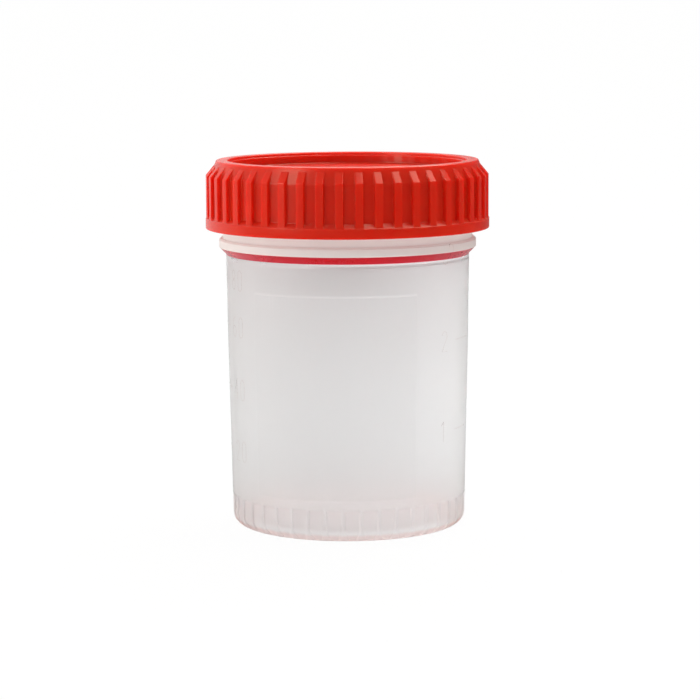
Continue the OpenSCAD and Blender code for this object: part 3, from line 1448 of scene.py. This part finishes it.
@dataclass(frozen=True)
class Studio:
    """The floor, the world, the lamps and the camera.

    Attributes:
        floor: The floor's finish.
        lamps: The soft boxes.
        level: Strength of the light from the camera's side and from behind the container.
        seen_level: How bright the studio looks through clear plastic.
        gloss: Share of the light around that shows in gloss, on the left and on the right.
        gloss_span: Where these two shares are reached, along X, from -1 to 1.
        camera_distance: Distance of the camera from the axis, in metres.
        camera_height: Height of the camera, in metres.
        pitch: How far the camera looks down, in radians.
        yaw: How far it turns to the left, in radians.
        roll: How far it leans, in radians.
        focal_px: Focal length in the photograph's pixels.
    """

    floor: WhiteSweep = field(default_factory=WhiteSweep)
    lamps: tuple[Softbox, ...] = (
        Softbox("key_left", (-0.50, -0.37, 0.30), (0.26, 0.50), 1.0),
        Softbox("fill_left", (-0.55, 0.10, 0.20), (0.25, 0.45), 1.4, False),
        Softbox("top_right", (0.20, 0.12, 0.65), (0.84, 0.55), 3.9),
        Softbox("top_back", (0.08, 0.46, 0.60), (0.76, 0.30), 2.5),
    )
    level: Span = (0.40, 0.70)
    seen_level: float = 0.62
    gloss: Span = (0.9, 0.1)
    gloss_span: Span = (-0.8, 0.2)
    camera_distance: float = 0.5407
    camera_height: float = 0.1077
    pitch: float = 0.1333
    yaw: float = -0.0007
    roll: float = -0.0050
    focal_px: float = 2682.2

    def build_floor(self) -> Piece:
        """Build the sweep: a floor that curves up into the backdrop. Its sizes are in metres.

        Returns:
            The sweep.
        """
        half_w, front, back, bend, rise = 1.6, -1.2, 0.5, 0.4, 1.2
        turns = [math.pi / 2 * k / 12 for k in range(1, 13)]
        line = [(front, 0.0), (back, 0.0)]
        line += [(back + bend * math.sin(a), bend * (1 - math.cos(a))) for a in turns]
        line += [(back + bend, rise)]
        points = [(x / MM, y / MM, z / MM) for y, z in line for x in (-half_w, half_w)]
        faces = [[2 * k, 2 * k + 1, 2 * k + 3, 2 * k + 2] for k in range(len(line) - 1)]
        sweep = new_piece("sweep", np.array(points), faces, [self.floor.material()])
        return sweep

    def build_world(self) -> None:
        """Light the container from behind and around, and show white to the camera."""
        graph = Graph(bpy.data.worlds.new("studio"))
        path = graph.add("LightPath").outputs
        where = graph.add("TexCoord").outputs["Generated"]
        around = graph.ranged(graph.along("Y", where), *self.level, -1.0, 1.0)
        lost = graph.ranged(graph.along("X", where), *(1 - share for share in self.gloss), *self.gloss_span)
        dimmed = graph.maths("MULTIPLY", path["Is Glossy Ray"], lost)
        around = graph.maths("MULTIPLY", around, graph.ranged(dimmed, 1, 0, 0, 1))
        through = graph.maths("MULTIPLY", path["Is Transmission Ray"], self.seen_level)
        white = graph.maths("MAXIMUM", through, path["Is Camera Ray"])
        bpy.context.scene.world = graph.done(graph.add("Background", {
            "Color": (1, 1, 1, 1), "Strength": graph.maths("MAXIMUM", around, white),
        }))

    def build_camera(self) -> Piece:
        """Build the camera at the photograph's viewing angle.

        Returns:
            The camera.
        """
        data = bpy.data.cameras.new("camera")
        data.sensor_fit = "HORIZONTAL"
        data.sensor_width = 36.0
        data.lens = self.focal_px / PHOTO_SIDE * data.sensor_width
        camera = bpy.data.objects.new("camera", data)
        turn = Euler((math.pi / 2 - self.pitch, 0, 0)).to_quaternion()
        turn = Euler((0, 0, self.yaw)).to_quaternion() @ turn @ Euler((0, 0, self.roll)).to_quaternion()
        camera.rotation_euler = turn.to_euler()
        camera.location = (0, -self.camera_distance, self.camera_height)
        bpy.context.scene.collection.objects.link(camera)
        bpy.context.scene.camera = camera
        return camera

    def build(self, target: Vector) -> None:
        """Build all of the studio.

        Args:
            target: The middle of what stands in it.
        """
        self.build_camera()
        self.build_floor()
        self.build_world()
        for lamp in self.lamps:
            lamp.build(target)
        bpy.context.scene.view_settings.view_transform = "Standard"


def cup_finishes() -> tuple[ClearMoulding, ...]:
    """Choose the finishes of the cup's zones.

    Returns:
        The finishes in the order of Zone.
    """
    waves = {"ripple": 0.02, "grain": 0.002}
    polish = {"gloss": (0.26, 0.30), "bending": 1.6, "mirror": 0.0}
    return (
        # Painted light: the pink foot tints of the wall and the panel paint the cap's red light at the foot
        ClearMoulding("clear_moulding", (0.975, 0.98, 0.985), 0.82, **waves, painted_foot_tint=(0.975, 0.955, 0.955)),
        ClearMoulding("frosted_panel", (0.955, 0.96, 0.965), 0.80, (0.60, 0.66), 0.02, 0.006, 1.15,
                      painted_foot_tint=(0.955, 0.935, 0.935)),
        # Painted reflection: the slope's red tint paints the red cap seen through it, and stays when the cap
        # is lifted
        ClearMoulding("polished_slope_painted_red", (1.0, 0.012, 0.03), 1.0, **polish),
        # Painted shade and light: the collar's darker tint paints shade, and its glow is painted light
        ClearMoulding("milky_collar", (0.87, 0.88, 0.865), 0.34, (0.40, 0.46), **waves,
                      painted_foot_tint=(0.77, 0.745, 0.725), fade=(57.8, 58.6), glow=0.10),
        # Painted light: the cells' pink tint and their deep pink toes paint the cap's red light
        ClearMoulding("grip_cells", (0.98, 0.945, 0.945), 0.82, **waves, painted_foot_tint=(0.97, 0.77, 0.74),
                      fade=(1.1, 1.7)),
        # Painted light: the base's pink tint paints the cap's red light, and its glow brightens the underside
        ClearMoulding("clear_base", (0.975, 0.93, 0.93), 0.96, grain=0.002, glow=0.05),
        ClearMoulding("polished_bore", (1.0, 0.99, 0.99), 1.0, **polish),
        # Painted highlight: the brow's glow paints a bright line along the panel's top edge
        ClearMoulding("panel_brow_painted_highlight", (1.0, 1.0, 1.0), 0.90, glow=0.09),
    )


def main() -> None:
    """Build the container and its studio."""
    logging.basicConfig(level=logging.INFO, format="%(name)s: %(message)s")
    low, high = CAD_BOX
    Studio().build((low + high) / 2)
    thread = ScrewThread()
    ounces = VolumeScale(Unit.OUNCE, (("1", 20.7), ("2", 38.8), ("3", 56.2)), 51.5, (61.5, 76.0))
    millilitres = VolumeScale(Unit.MILLILITRE, (("20", 16.2), ("40", 28.7), ("60", 41.3), ("80", 50.7)),
                              -64.5, (-75.0, -89.0))
    # Painted shade: the marks' darker tint stands in for the shading along the edges of the raised lines
    marks = ClearMoulding("scale_marks", (0.92, 0.89, 0.88), 1.0, (0.10, 0.14), bending=1.04, shine=0.2)
    cup = Cup(cup_finishes(), marks, thread, (ounces, millilitres))
    red = SolidMoulding("red_moulding", (0.64, 0.020, 0.006), (0.61, 0.019, 0.006), (0.20, 0.27),
                        shine=0.5, glow=0.9, reach=3.0)
    # Painted light: the inside's glow stands in for light coming through the cap
    red_inside = SolidMoulding("red_inside", (0.54, 0.008, 0.016), (0.52, 0.008, 0.016), (0.5, 0.6),
                               painted_glow=0.5)
    cap = ScrewCap(red, red_inside, thread, cup)
    ring = SealRing(SoftFoam(), cap)
    for assembly in (cup, cap, ring):
        for piece in assembly.build():
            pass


if __name__ == "__main__":
    main()
